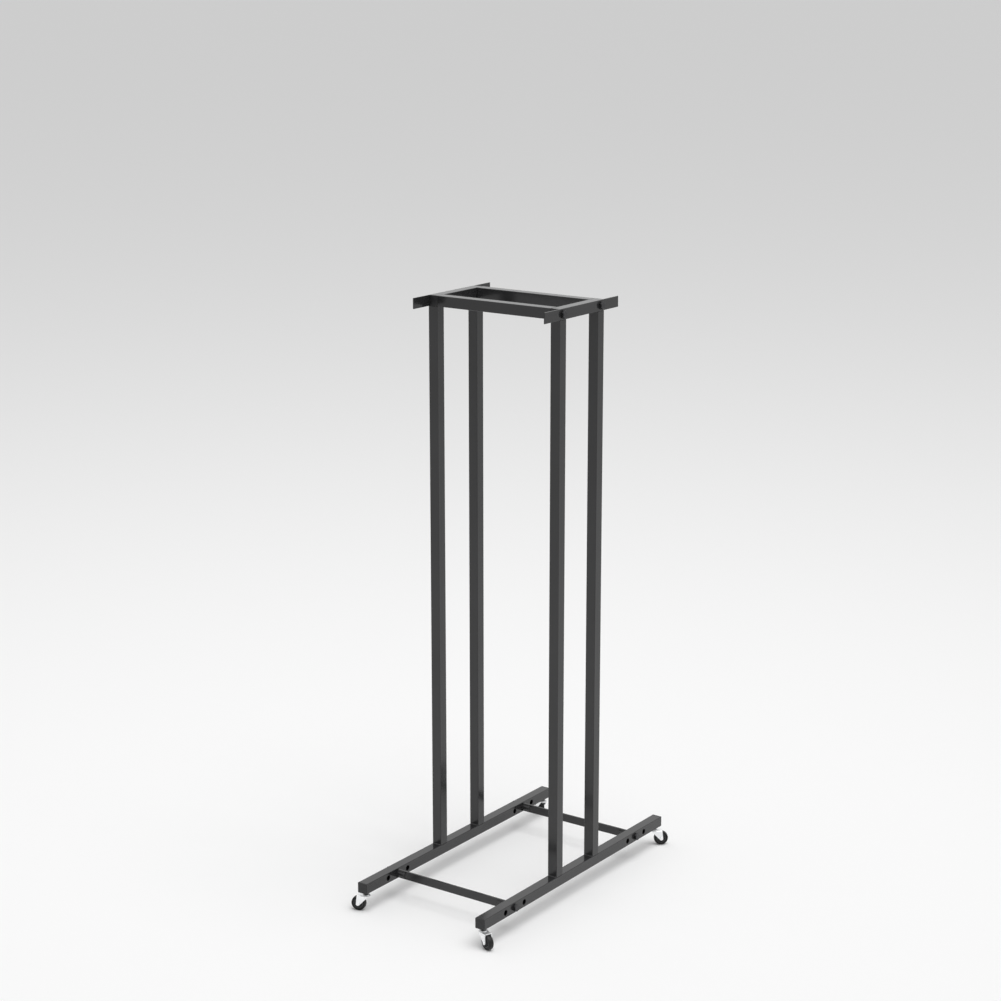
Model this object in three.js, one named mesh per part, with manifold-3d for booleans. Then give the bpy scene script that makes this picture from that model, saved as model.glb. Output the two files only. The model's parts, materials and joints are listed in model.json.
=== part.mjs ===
// A wheeled ski rack stand of square steel tube. Millimetres, +Z up, +X to the rack's right.
// The front faces -Y. The origin is on the floor under the middle of the rack.
import * as THREE from "three";
import { mergeVertices } from "three/addons/utils/BufferGeometryUtils.js";
import Module from "manifold-3d";

const wasm = await Module();
wasm.setup();

// Whole rack
const rackWidth = 360; // over the outer faces of the side frames
const rackHeight = 1402; // floor to the top of the top frame
const railLength = 750; // over the end caps of a base rail
const uprightPitch = 152; // front upright to rear upright, middle to middle
const baseBarInset = 119; // end of a base rail to the middle of a base bar
const fit = 0.3; // clearance between pieces that touch
const overrun = 1; // how far a cut reaches past the material

// Square steel tube of the side frames and the top bars
const tubeWidth = 25;
const tubeWall = 2;
const tubeCornerRadius = 1.2;
const topRailWall = 3; // the top side rails are thicker, for their tabs
const tabLength = 58; // how far the outer wall of a top side rail runs past its tube

// Flat bars across the base, on edge
const baseBarHeight = 20;
const baseBarThickness = 5;
const baseBarEdgeRadius = 0.8;

// Bolted joints
const boltDiameter = 10;
const boltShankLength = 40;
const boltHeadAcrossFlats = 16;
const boltHeadHeight = 6.4;
const boltHoleDiameter = 13;
const boltHolePitch = 36.5; // between the three holes of a group in a base rail
const threadedLength = 18; // of an insert or a bush
const bushDiameter = 15;
const bushEnd = 3; // closed end of a bush, past its thread

// Plastic end caps
const capFlange = 2;
const capPlugDepth = 4;

// Swivel casters
const wheelDiameter = 35;
const wheelWidth = 13;
const tyreDepth = 5.4;
const tyreCrown = 0.8; // how much smaller the tread is at its edges
const tyreShoulder = 2; // rounding of the tyre's edges
const hubRimDepth = 1.8;
const hubBossRadius = 5.6;
const hubWebThickness = 5;
const axleDiameter = 6;
const axleHeadDiameter = 9;
const axleHeadHeight = 1.5;
const casterTrail = 17.5; // from the swivel axis to the axle, level
const stemSetback = 14; // from the end of a base rail to the swivel axis
const forkPlate = 1.8;
const forkSideGap = 1.2; // between the wheel and a fork plate
const forkCrownGap = 1.2; // between the top of the wheel and the crown
const forkLugRadius = 4.6;
const forkRearReach = 4; // of a side plate behind the swivel axis
const forkRearDepth = 10; // of a side plate's rear edge
const crownRadius = 10.5;
const bearingRadius = 8.6;
const bearingHeight = 2.2;
const stemDiameter = 8;
const journalDiameter = 6.4; // of the stem inside the bearing and the crown
const journalHeadDiameter = 10;
const journalHeadHeight = 1.4;
const stemNeckHeight = 1.5;
const stemCollarAcrossFlats = 13;
const stemCollarHeight = 3.9;
const stemThreadLength = 11; // above the rail's underside
const weldNutHeight = 6.5;
const weldNutAcrossFlats = 13;
const weldSink = 0.2; // how far a weld nut melts into the wall it stands on
const casterHeadings = {
  // degrees from +X to the way the wheel trails, as the four casters happen to stand
  front_left: 199,
  front_right: -22,
  rear_left: 150,
  rear_right: 40,
};

// Levels and places that follow from the sizes above
const crownUnderside = wheelDiameter + forkCrownGap;
const crownTop = crownUnderside + forkPlate;
const bearingBottom = crownTop + fit;
const neckBottom = bearingBottom + bearingHeight + fit;
const collarBottom = neckBottom + stemNeckHeight;
const railBottom = collarBottom + stemCollarHeight + fit;
const railTop = railBottom + tubeWidth;
const railMiddle = railBottom + tubeWidth / 2;
const topRailBottom = rackHeight - tubeWidth;
const topRailMiddle = rackHeight - tubeWidth / 2;
const sideOuter = rackWidth / 2;
const sideMiddle = sideOuter - tubeWidth / 2;
const sideInner = sideOuter - tubeWidth;
const uprightPlace = uprightPitch / 2;
const topFrameEnd = uprightPlace + tubeWidth / 2;
const topTubeEnd = topFrameEnd - capFlange - fit;
const baseBarPlace = railLength / 2 - baseBarInset;
const stemPlace = railLength / 2 - stemSetback;
const crossBarLength = 2 * (sideInner - fit);
const forkHalfWidth = wheelWidth / 2 + forkSideGap + forkPlate;
const axleHeight = wheelDiameter / 2;

// Numbers of facets
const cornerSegments = 2;
const holeSegments = 12;
const shaftSegments = 16;
const hubSegments = 20;
const tyreSegments = 32;
const lugSegments = 8;

const sides = [
  { name: "left", x: -1 },
  { name: "right", x: 1 },
];
const ends = [
  { name: "front", y: -1 },
  { name: "rear", y: 1 },
];

// Finishes
const finish = (color, roughness, metalness) =>
  new THREE.MeshStandardMaterial({ color, roughness, metalness });
const framePaint = finish(0x26272a, 0.45, 0.1);
const blackPlastic = finish(0x1b1b1d, 0.5, 0);
const blackSteel = finish(0x1a1a1c, 0.4, 0.6);
const plainSteel = finish(0x9a9c9e, 0.4, 0.9);
const zincPlate = finish(0xd8dadb, 0.3, 0.9);
const tyreRubber = finish(0x121213, 0.75, 0);
const hubPlastic = finish(0x343538, 0.5, 0);

// Closed mesh to solid and back, for cuts and joins
function solidOf(geometry) {
  const bare = geometry.clone();
  bare.deleteAttribute("normal");
  bare.deleteAttribute("uv");
  const merged = mergeVertices(bare);
  return new wasm.Manifold(
    new wasm.Mesh({
      numProp: 3,
      vertProperties: new Float32Array(merged.attributes.position.array),
      triVerts: new Uint32Array(merged.index.array),
    }),
  );
}

function geometryOf(solid) {
  const mesh = solid.getMesh();
  const geometry = new THREE.BufferGeometry();
  geometry.setAttribute("position", new THREE.BufferAttribute(mesh.vertProperties, 3));
  geometry.setIndex(new THREE.BufferAttribute(mesh.triVerts, 1));
  geometry.computeVertexNormals();
  return geometry;
}

function joined(...geometries) {
  const solids = geometries.map(solidOf);
  return geometryOf(solids.reduce((all, next) => all.add(next)));
}

function cut(geometry, ...tools) {
  const solids = tools.map(solidOf);
  return geometryOf(solids.reduce((left, tool) => left.subtract(tool), solidOf(geometry)));
}

// Outlines
function rectangle(width, height, radius) {
  const shape = new THREE.Shape();
  const x = width / 2 - radius;
  const y = height / 2 - radius;
  const quarter = Math.PI / 2;
  const corners = [
    [x, y],
    [-x, y],
    [-x, -y],
    [x, -y],
  ];
  corners.forEach(([cornerX, cornerY], turn) => {
    if (radius > 0) shape.absarc(cornerX, cornerY, radius, turn * quarter, (turn + 1) * quarter);
    else if (turn === 0) shape.moveTo(cornerX, cornerY);
    else shape.lineTo(cornerX, cornerY);
  });
  return shape;
}

function squareTube(width, wall, radius) {
  const shape = rectangle(width, width, radius);
  shape.holes.push(rectangle(width - 2 * wall, width - 2 * wall, 0));
  return shape;
}

function hexagon(acrossFlats) {
  const corner = acrossFlats / Math.sqrt(3);
  const points = [];
  for (let side = 0; side < 6; side += 1) {
    const angle = (side * Math.PI) / 3;
    points.push(new THREE.Vector2(corner * Math.cos(angle), corner * Math.sin(angle)));
  }
  return new THREE.Shape(points);
}

// Prisms of an outline, centred on the origin. The outline stays upright along Y and X.
function prismZ(shape, length) {
  const settings = { depth: length, bevelEnabled: false, curveSegments: cornerSegments };
  return new THREE.ExtrudeGeometry(shape, settings).translate(0, 0, -length / 2);
}

function prismY(shape, length) {
  return prismZ(shape, length).rotateX(Math.PI / 2);
}

function prismX(shape, length) {
  return prismY(shape, length).rotateZ(Math.PI / 2);
}

// Round pieces, centred on the origin
function rodX(radius, length, segments) {
  return new THREE.CylinderGeometry(radius, radius, length, segments).rotateZ(Math.PI / 2);
}

function rodZ(radius, length, segments) {
  return new THREE.CylinderGeometry(radius, radius, length, segments).rotateX(Math.PI / 2);
}

// A ring or shaft turned about Y from points of (radius, place along the axis)
function turned(points, segments) {
  const profile = points.map(([radius, place]) => new THREE.Vector2(radius, place));
  const closed = points[0][0] > 0;
  if (closed) profile.push(profile[0].clone());
  return new THREE.LatheGeometry(profile, segments);
}

const rack = new THREE.Group();

function addPiece(name, geometry, material, parent = rack) {
  const mesh = new THREE.Mesh(geometry, material);
  mesh.name = name;
  parent.add(mesh);
  return mesh;
}

// Base rails: a tube with three bolt holes near each end and a weld nut over each stem
function makeBaseRail(side) {
  const length = railLength - 2 * (capFlange + fit);
  const parts = [prismY(squareTube(tubeWidth, tubeWall, tubeCornerRadius), length)];
  const holes = [];
  const floor = tubeWall - tubeWidth / 2;
  const nutPlace = floor - weldSink + weldNutHeight / 2;
  for (const end of ends) {
    const nut = prismZ(hexagon(weldNutAcrossFlats), weldNutHeight);
    parts.push(nut.translate(0, end.y * stemPlace, nutPlace));
    const stemHole = rodZ(stemDiameter / 2 + fit, 2 * (tubeWall + weldNutHeight), holeSegments);
    holes.push(stemHole.translate(0, end.y * stemPlace, floor));
    for (const step of [-1, 0, 1]) {
      const place = end.y * baseBarPlace + step * boltHolePitch;
      const hole = rodX(boltHoleDiameter / 2, tubeWidth + 2 * overrun, holeSegments);
      holes.push(hole.translate(0, place, 0));
    }
  }
  const rail = cut(joined(...parts), ...holes);
  addPiece(`base_rail_${side.name}`, rail, framePaint).position.set(
    side.x * sideMiddle,
    0,
    railMiddle,
  );
}

function makeUpright(side, end) {
  const length = topRailBottom - railTop - 2 * fit;
  const upright = prismZ(squareTube(tubeWidth, tubeWall, tubeCornerRadius), length);
  addPiece(`upright_${end.name}_${side.name}`, upright, framePaint).position.set(
    side.x * sideMiddle,
    end.y * uprightPlace,
    (topRailBottom + railTop) / 2,
  );
}

// Top side rails: a short tube whose outer wall runs on as a tab at both ends
function makeTopRail(side) {
  const length = 2 * (topFrameEnd + tabLength);
  const tools = [];
  for (const end of ends) {
    const notchLength = length / 2 - topTubeEnd + overrun;
    const notchWidth = tubeWidth - topRailWall + overrun;
    const notch = new THREE.BoxGeometry(notchWidth, notchLength, tubeWidth + 2 * overrun);
    const inward = -side.x * (tubeWidth / 2 + overrun - notchWidth / 2);
    tools.push(notch.translate(inward, end.y * (topTubeEnd + notchLength / 2), 0));
    const hole = rodX(boltHoleDiameter / 2, tubeWidth + 2 * overrun, holeSegments);
    tools.push(hole.translate(0, end.y * uprightPlace, 0));
  }
  const tube = prismY(squareTube(tubeWidth, topRailWall, tubeCornerRadius), length);
  addPiece(`top_rail_${side.name}`, cut(tube, ...tools), framePaint).position.set(
    side.x * sideMiddle,
    0,
    topRailMiddle,
  );
}

function makeTopBar(end) {
  const bar = prismX(squareTube(tubeWidth, tubeWall, tubeCornerRadius), crossBarLength);
  addPiece(`top_bar_${end.name}`, bar, framePaint).position.set(
    0,
    end.y * uprightPlace,
    topRailMiddle,
  );
}

// Base bars: flat bar on edge, slotted at both ends for the threaded bushes
function makeBaseBar(end) {
  const slotLength = threadedLength + bushEnd + fit;
  const slots = sides.map((side) => {
    const slotHeight = bushDiameter + 2 * fit;
    const slot = new THREE.BoxGeometry(
      slotLength + overrun,
      baseBarThickness + 2 * overrun,
      slotHeight,
    );
    return slot.translate(side.x * (crossBarLength / 2 - (slotLength - overrun) / 2), 0, 0);
  });
  const outline = rectangle(baseBarThickness, baseBarHeight, baseBarEdgeRadius);
  const bar = cut(prismX(outline, crossBarLength), ...slots);
  addPiece(`base_bar_${end.name}`, bar, framePaint).position.set(
    0,
    end.y * baseBarPlace,
    railMiddle,
  );
}

// End caps: a flange over the tube's end and a plug inside it
function makeCap(flangeWidth, plugWidth, plugShift) {
  const flange = prismY(rectangle(flangeWidth, tubeWidth, tubeCornerRadius), capFlange);
  const depth = capPlugDepth + capFlange;
  const plug = prismY(rectangle(plugWidth, plugWidth, 0), depth);
  return joined(
    flange.translate(0, -capFlange / 2, 0),
    plug.translate(plugShift, -depth / 2, 0),
  );
}

function makeBaseCap(side, end) {
  const cap = makeCap(tubeWidth, tubeWidth - 2 * (tubeWall + fit), 0);
  const mesh = addPiece(`base_cap_${end.name}_${side.name}`, cap, blackPlastic);
  mesh.position.set(side.x * sideMiddle, (end.y * railLength) / 2, railMiddle);
  if (end.y < 0) mesh.rotation.z = Math.PI;
}

// A top cap sits beside the tab, so its flange is narrower than the tube on the outer side.
function makeTopCap(side, end) {
  const flangeWidth = tubeWidth - topRailWall - fit;
  const toTubeMiddle = (tubeWidth - flangeWidth) / 2;
  const turn = side.x * end.y;
  const cap = makeCap(flangeWidth, tubeWidth - 2 * (topRailWall + fit), turn * toTubeMiddle);
  const mesh = addPiece(`top_cap_${end.name}_${side.name}`, cap, blackPlastic);
  mesh.position.set(
    side.x * (sideMiddle - toTubeMiddle),
    end.y * topFrameEnd,
    topRailMiddle,
  );
  if (end.y < 0) mesh.rotation.z = Math.PI;
}

// Bolts, with the head at the origin and the shank along -X
function makeBolt() {
  const head = prismX(hexagon(boltHeadAcrossFlats), boltHeadHeight);
  const reach = boltShankLength + fit;
  const shank = rodX(boltDiameter / 2, reach + boltHeadHeight / 2, shaftSegments);
  return joined(
    head.translate(fit + boltHeadHeight / 2, 0, 0),
    shank.translate(fit + boltHeadHeight / 2 - (reach + boltHeadHeight / 2) / 2, 0, 0),
  );
}

function addBolt(name, side, place, height) {
  const mesh = addPiece(name, makeBolt(), blackSteel);
  mesh.position.set(side.x * sideOuter, place, height);
  if (side.x < 0) mesh.rotation.z = Math.PI;
}

// Threaded pieces in the ends of the cross bars: square inserts above, round bushes below.
// Each is made with its outer end at the origin and its body along -X.
function threadBore(depth) {
  const reach = depth + overrun;
  return rodX(boltDiameter / 2 + fit, reach, shaftSegments).translate(overrun - reach / 2, 0, 0);
}

function addThreaded(name, geometry, material, side, place, height) {
  const mesh = addPiece(name, geometry, material);
  mesh.position.set((side.x * crossBarLength) / 2, place, height);
  if (side.x < 0) mesh.rotation.z = Math.PI;
}

function makeInsert(side, end) {
  const width = tubeWidth - 2 * (tubeWall + fit);
  const body = prismX(rectangle(width, width, 0), threadedLength);
  const insert = cut(body.translate(-threadedLength / 2, 0, 0), threadBore(threadedLength + overrun));
  const name = `top_insert_${end.name}_${side.name}`;
  addThreaded(name, insert, plainSteel, side, end.y * uprightPlace, topRailMiddle);
}

// A bush is closed behind its thread.
function makeBush(side, end) {
  const length = threadedLength + bushEnd;
  const body = rodX(bushDiameter / 2, length, shaftSegments).translate(-length / 2, 0, 0);
  const bush = cut(body, threadBore(threadedLength));
  const name = `base_bush_${end.name}_${side.name}`;
  addThreaded(name, bush, framePaint, side, end.y * baseBarPlace, railMiddle);
}

// Caster stem: a riveted journal, a neck, a hexagonal collar and the thread above it
function makeStem() {
  const journal = journalDiameter / 2;
  const headTop = crownUnderside - fit;
  const threadTop = railBottom + stemThreadLength;
  const round = turned(
    [
      [0, headTop - journalHeadHeight],
      [journalHeadDiameter / 2, headTop - journalHeadHeight],
      [journalHeadDiameter / 2, headTop],
      [journal, headTop],
      [journal, neckBottom],
      [stemDiameter / 2, neckBottom],
      [stemDiameter / 2, threadTop],
      [0, threadTop],
    ],
    shaftSegments,
  ).rotateX(Math.PI / 2);
  const collar = prismZ(hexagon(stemCollarAcrossFlats), stemCollarHeight);
  return joined(round, collar.translate(0, 0, collarBottom + stemCollarHeight / 2));
}

function makeBearing() {
  const bore = journalDiameter / 2 + fit;
  const chamfer = bearingHeight / 3;
  const top = bearingBottom + bearingHeight;
  return turned(
    [
      [bore, bearingBottom],
      [bearingRadius, bearingBottom],
      [bearingRadius, top - chamfer],
      [bearingRadius - chamfer, top],
      [bore, top],
    ],
    shaftSegments,
  ).rotateX(Math.PI / 2);
}

// Side plate of the fork: level at the crown, upright in front and drawn in to a lug behind
function forkPlateOutline() {
  const rearBottom = crownTop - forkRearDepth;
  const alongX = -forkRearReach - casterTrail;
  const alongZ = rearBottom - axleHeight;
  const towards = Math.atan2(alongZ, alongX);
  const spread = Math.acos(forkLugRadius / Math.hypot(alongX, alongZ));
  const outline = new THREE.Shape();
  outline.moveTo(-forkRearReach, crownTop);
  outline.lineTo(-forkRearReach, rearBottom);
  outline.absarc(casterTrail, axleHeight, forkLugRadius, towards + spread, 2 * Math.PI);
  outline.lineTo(casterTrail + forkLugRadius, crownTop);
  return outline;
}

function makeFork() {
  const settings = { depth: forkPlate, bevelEnabled: false, curveSegments: lugSegments };
  const plates = ends.map((face) => {
    const plate = new THREE.ExtrudeGeometry(forkPlateOutline(), settings).rotateX(Math.PI / 2);
    return plate.translate(0, face.y > 0 ? forkHalfWidth : forkPlate - forkHalfWidth, 0);
  });
  const deckLength = casterTrail + forkLugRadius;
  const deck = new THREE.BoxGeometry(deckLength, 2 * forkHalfWidth, forkPlate);
  const crownMiddle = crownTop - forkPlate / 2;
  const crown = rodZ(crownRadius, forkPlate, shaftSegments).translate(0, 0, crownMiddle);
  const body = joined(...plates, deck.translate(deckLength / 2, 0, crownMiddle), crown);
  const stemHole = rodZ(journalDiameter / 2 + fit, forkPlate + 2 * overrun, shaftSegments);
  const axleHole = new THREE.CylinderGeometry(
    axleDiameter / 2 + fit,
    axleDiameter / 2 + fit,
    2 * (forkHalfWidth + overrun),
    holeSegments,
  );
  return cut(
    body,
    stemHole.translate(0, 0, crownMiddle),
    axleHole.translate(casterTrail, 0, axleHeight),
  );
}

function makeAxle() {
  const shaft = axleDiameter / 2;
  const head = axleHeadDiameter / 2;
  const inner = forkHalfWidth + fit;
  const outer = inner + axleHeadHeight;
  return turned(
    [
      [0, -outer],
      [head, -outer],
      [head, -inner],
      [shaft, -inner],
      [shaft, inner],
      [head, inner],
      [head, outer],
      [0, outer],
    ],
    shaftSegments,
  );
}

function makeHub() {
  const bore = axleDiameter / 2 + fit;
  const rim = wheelDiameter / 2 - tyreDepth - fit;
  const half = wheelWidth / 2;
  const web = hubWebThickness / 2;
  const oneFace = [
    [bore, half],
    [hubBossRadius, half],
    [hubBossRadius, web],
    [rim - hubRimDepth, web],
    [rim - hubRimDepth, half],
    [rim, half],
  ];
  const otherFace = oneFace.map(([radius, place]) => [radius, -place]);
  return turned([...otherFace, ...oneFace.reverse()], hubSegments);
}

function makeTyre() {
  const outer = wheelDiameter / 2;
  const inner = outer - tyreDepth;
  const half = wheelWidth / 2;
  const treadHalf = half - tyreShoulder;
  const oneSide = [
    [inner, half],
    [outer - tyreCrown - tyreShoulder, half],
    [outer - tyreCrown, treadHalf + tyreShoulder / 3],
    [outer, treadHalf / 2],
  ];
  const otherSide = oneSide.map(([radius, place]) => [radius, -place]);
  return turned([...otherSide, ...oneSide.reverse()], tyreSegments);
}

function makeCaster(side, end) {
  const corner = `${end.name}_${side.name}`;
  const mounting = new THREE.Group();
  mounting.position.set(side.x * sideMiddle, end.y * stemPlace, 0);
  rack.add(mounting);
  addPiece(`caster_stem_${corner}`, makeStem(), blackSteel, mounting);
  addPiece(`caster_bearing_${corner}`, makeBearing(), zincPlate, mounting);

  const swivel = new THREE.Group();
  swivel.rotation.z = THREE.MathUtils.degToRad(casterHeadings[corner]);
  mounting.add(swivel);
  addPiece(`caster_fork_${corner}`, makeFork(), zincPlate, swivel);

  const wheel = new THREE.Group();
  wheel.position.set(casterTrail, 0, axleHeight);
  swivel.add(wheel);
  addPiece(`caster_axle_${corner}`, makeAxle(), zincPlate, wheel);
  addPiece(`caster_hub_${corner}`, makeHub(), hubPlastic, wheel);
  addPiece(`caster_tyre_${corner}`, makeTyre(), tyreRubber, wheel);
}

for (const side of sides) {
  makeBaseRail(side);
  makeTopRail(side);
}
for (const end of ends) {
  makeTopBar(end);
  makeBaseBar(end);
}
for (const end of ends) {
  for (const side of sides) {
    const corner = `${end.name}_${side.name}`;
    makeUpright(side, end);
    makeBaseCap(side, end);
    makeTopCap(side, end);
    makeInsert(side, end);
    makeBush(side, end);
    makeCaster(side, end);
    addBolt(`top_bolt_${corner}`, side, end.y * uprightPlace, topRailMiddle);
    addBolt(`base_bolt_${corner}`, side, end.y * baseBarPlace, railMiddle);
  }
}

export default rack;
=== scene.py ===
import json
import math

import bmesh
import bpy
from mathutils import Matrix, Vector


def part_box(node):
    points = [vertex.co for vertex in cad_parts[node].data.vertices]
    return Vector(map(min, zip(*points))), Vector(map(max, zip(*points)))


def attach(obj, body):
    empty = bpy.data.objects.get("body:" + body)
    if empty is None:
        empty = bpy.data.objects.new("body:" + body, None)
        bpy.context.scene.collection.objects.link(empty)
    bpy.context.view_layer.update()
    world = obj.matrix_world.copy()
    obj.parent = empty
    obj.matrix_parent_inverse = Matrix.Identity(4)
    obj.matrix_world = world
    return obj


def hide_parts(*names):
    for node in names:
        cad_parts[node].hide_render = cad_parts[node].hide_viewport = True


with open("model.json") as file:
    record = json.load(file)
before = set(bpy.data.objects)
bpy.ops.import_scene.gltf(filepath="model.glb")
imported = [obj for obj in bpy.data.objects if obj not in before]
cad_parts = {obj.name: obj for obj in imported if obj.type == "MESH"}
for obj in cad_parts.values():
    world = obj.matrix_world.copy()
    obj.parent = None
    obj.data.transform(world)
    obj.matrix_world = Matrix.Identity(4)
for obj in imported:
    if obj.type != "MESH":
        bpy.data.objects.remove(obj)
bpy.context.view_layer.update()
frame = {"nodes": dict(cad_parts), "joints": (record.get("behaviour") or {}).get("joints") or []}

MM = 0.001
SIDES = ("left", "right")
ENDS = ("front", "rear")
CORNERS = [f"{end}_{side}" for end in ENDS for side in SIDES]

# Clearances and edges
FIT = 0.3 * MM
OVERRUN = 1 * MM
SKIM = 0.02 * MM  # by which a cutting cone clears the flat face that it leaves whole
EDGE = 0.3 * MM
FINE_EDGE = 0.2 * MM
THIN_EDGE = 0.1 * MM

# Tubes, bars and caps: sizes that the frame's boxes don't give
TUBE_WALL = 2 * MM
TOP_RAIL_WALL = 3 * MM
TUBE_RADIUS = 1.2 * MM
TUBE_INNER_RADIUS = 0.9 * MM
FLAT_BAR_RADIUS = 0.8 * MM
BUSH_END = 3 * MM
BUSH_CHAMFER = 1.2 * MM
CAP_FLANGE = 2 * MM
CAP_CROWN = 0.7 * MM
CAP_CROWN_STEPS = 6

# Bolts
BOLT_HOLE_RADIUS = 6.5 * MM
BOLT_HOLE_PITCH = 36.5 * MM
BOLT_RADIUS = 5 * MM
BOLT_POINT = 1.2 * MM
BOLT_HEAD_FLATS = 16 * MM
BOLT_HEAD_HEIGHT = 6.4 * MM
BOLT_HEAD_CHAMFER = 1.9 * MM
BOLT_WASHER_FACE = 0.5 * MM
BOLT_RIM_SHARE = 0.47

# Weld beads
WELD_LEG = 2.6 * MM
SIDE_WELD_LEG = 1.25 * MM
SIDE_WELD_INSET = 0.9 * MM
SIDE_WELD_SINK = 1.1 * MM
BUSH_WELD_LEG = 1.7 * MM
WELD_RIPPLE = 1.7 * MM
WELD_RIPPLE_SHARE = 0.07
WELD_RIPPLE_STEPS = 6
WELD_LEAST_STEPS = 8
WELD_END_SHARE = 0.35
WELD_FACE_SHARE = 0.78
WELD_CROWN_SHARE = 0.12
WELD_ROOT = 0.3 * MM
WELD_SIDES = 8

# Casters
STEM_RADIUS = 4 * MM
STEM_POINT = 1 * MM
STEM_NUT_FLATS = 13 * MM
STEM_NUT_HEIGHT = 6.5 * MM
STEM_NUT_SINK = 0.2 * MM
STEM_COLLAR_HEIGHT = 3.9 * MM
STEM_COLLAR_CHAMFER = 1.6 * MM
STEM_RIM_SHARE = 0.48
JOURNAL_RADIUS = 3.2 * MM
RIVET_HEIGHT = 1.4 * MM
RIVET_RADIUS = 5 * MM
RIVET_SIDE_FOOT = 0.8 * MM
RIVET_SHOULDER_RADIUS = 4.4 * MM
RIVET_SHOULDER_RISE = 0.25 * MM
RIVET_FACE_RADIUS = 2.6 * MM
RIVET_DIMPLE = 0.1 * MM
BEARING_RIM = 0.6 * MM
BEARING_DOME = 2.6 * MM
CROWN_RADIUS = 10.5 * MM
FORK_PLATE = 1.8 * MM
FORK_HALF_WIDTH = 9.5 * MM
FORK_BEND_RADIUS = 2.6 * MM
FORK_LUG_RADIUS = 4.6 * MM
FORK_REAR_REACH = 4 * MM
FORK_REAR_DEPTH = 5 * MM
FORK_FRONT_LEAN = 2.5 * MM
FORK_CORNER_RADIUS = 2 * MM
FORK_CORNER_RISE = 1.2 * MM
FORK_EDGE = 0.25 * MM
AXLE_RADIUS = 3 * MM
AXLE_HEAD_RADIUS = 4.5 * MM
AXLE_HEAD_HEIGHT = 1.5 * MM
AXLE_HEAD_RIM = 0.5 * MM
AXLE_HEAD_EDGE = 0.12 * MM
DOME_STEPS = 8

# Wheels
WHEEL_WIDTH = 13 * MM
HUB_BOSS_RADIUS = 5.6 * MM
HUB_BOSS_DRAFT = 0.5 * MM
HUB_WEB = 5 * MM
HUB_RIM_DEPTH = 1.8 * MM
HUB_RIM_DRAFT = 0.4 * MM
HUB_RIM_INSET = 0.6 * MM
HUB_RIBS = 6
HUB_RIB_THICKNESS = 1.2 * MM
HUB_RIB_INSET = 1 * MM
HUB_RIB_BITE = 0.6 * MM
TYRE_DEPTH = 5.4 * MM
TYRE_LIP_WIDTH = 0.4 * MM
TYRE_LIP_DEPTH = 0.5 * MM
GROOVE_START = 1 * MM
GROOVE_SLOPE = 0.2 * MM
GROOVE_FLOOR = 0.5 * MM
GROOVE_DEPTH = 0.3 * MM
SHOULDER_RADIUS = 2.4 * MM
SHOULDER_DROP = 0.45 * MM
SHOULDER_END_ANGLE = 12
SHOULDER_STEPS = 8
TREAD_EDGE_INSET = 0.8 * MM
TREAD_EDGE_DROP = 0.12 * MM
TREAD_HALF = 1.2 * MM
TREAD_DROP = 0.05 * MM
SEAM_FOOT_HALF = 0.18 * MM
SEAM_FOOT_DROP = 0.04 * MM
SEAM_HALF = 0.08 * MM


# Mesh tools

def add_object(name, vertices, faces):
    mesh = bpy.data.meshes.new(name)
    mesh.from_pydata(vertices, [], faces)
    mesh.update()
    work = bmesh.new()
    work.from_mesh(mesh)
    bmesh.ops.recalc_face_normals(work, faces=work.faces)
    work.to_mesh(mesh)
    work.free()
    obj = bpy.data.objects.new(name, mesh)
    bpy.context.scene.collection.objects.link(obj)
    return obj


def bake_modifiers(obj):
    bpy.context.view_layer.update()
    graph = bpy.context.evaluated_depsgraph_get()
    mesh = bpy.data.meshes.new_from_object(obj.evaluated_get(graph))
    old = obj.data
    obj.modifiers.clear()
    obj.data = mesh
    mesh.name = obj.name
    bpy.data.meshes.remove(old)


def combine(obj, other, operation):
    """Cuts or joins obj with other, which is used up."""
    modifier = obj.modifiers.new("combine", "BOOLEAN")
    modifier.operation = operation
    modifier.solver = "EXACT"
    modifier.object = other
    bake_modifiers(obj)
    bpy.data.objects.remove(other)


def merge(objects, name):
    """One object holding the meshes of several, which keep their own shells."""
    work = bmesh.new()
    for obj in objects:
        work.from_mesh(obj.data)
    mesh = bpy.data.meshes.new(name)
    work.to_mesh(mesh)
    work.free()
    for obj in objects:
        bpy.data.objects.remove(obj)
    merged = bpy.data.objects.new(name, mesh)
    bpy.context.scene.collection.objects.link(merged)
    return merged


def soften(obj, width, segments=2, angle=38):
    """Rounds the sharp edges and shades flats flat and rounds smooth."""
    for polygon in obj.data.polygons:
        polygon.use_smooth = True
    bevel = obj.modifiers.new("edges", "BEVEL")
    bevel.width = width
    bevel.segments = segments
    bevel.limit_method = "ANGLE"
    bevel.angle_limit = math.radians(angle)
    bevel.use_clamp_overlap = True
    normals = obj.modifiers.new("normals", "WEIGHTED_NORMAL")
    normals.keep_sharp = True
    bake_modifiers(obj)
    return obj


# Turns what was made along Z
TURN_TO_AXIS = {
    "X": Matrix.Rotation(math.pi / 2, 4, "Y"),
    "Y": Matrix.Rotation(-math.pi / 2, 4, "X"),
    "Z": Matrix.Identity(4),
}
# Turns an outline in Y and Z, drawn out along Z, so that it stands upright along X
ALONG_X_UPRIGHT = Matrix(((0, 0, 1, 0), (1, 0, 0, 0), (0, 1, 0, 0), (0, 0, 0, 1)))


def arc(centre, radius, start, stop, steps):
    """Points on an arc, both ends included, angles in degrees."""
    points = []
    for step in range(steps + 1):
        angle = math.radians(start + (stop - start) * step / steps)
        points.append((centre[0] + radius * math.cos(angle), centre[1] + radius * math.sin(angle)))
    return points


def rounded_rectangle(width, height, radius, steps=6):
    x = width / 2 - radius
    y = height / 2 - radius
    corners = [(x, y), (-x, y), (-x, -y), (x, -y)]
    points = []
    for turn, corner in enumerate(corners):
        points += arc(corner, radius, 90 * turn, 90 * turn + 90, steps)
    return points


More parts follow.
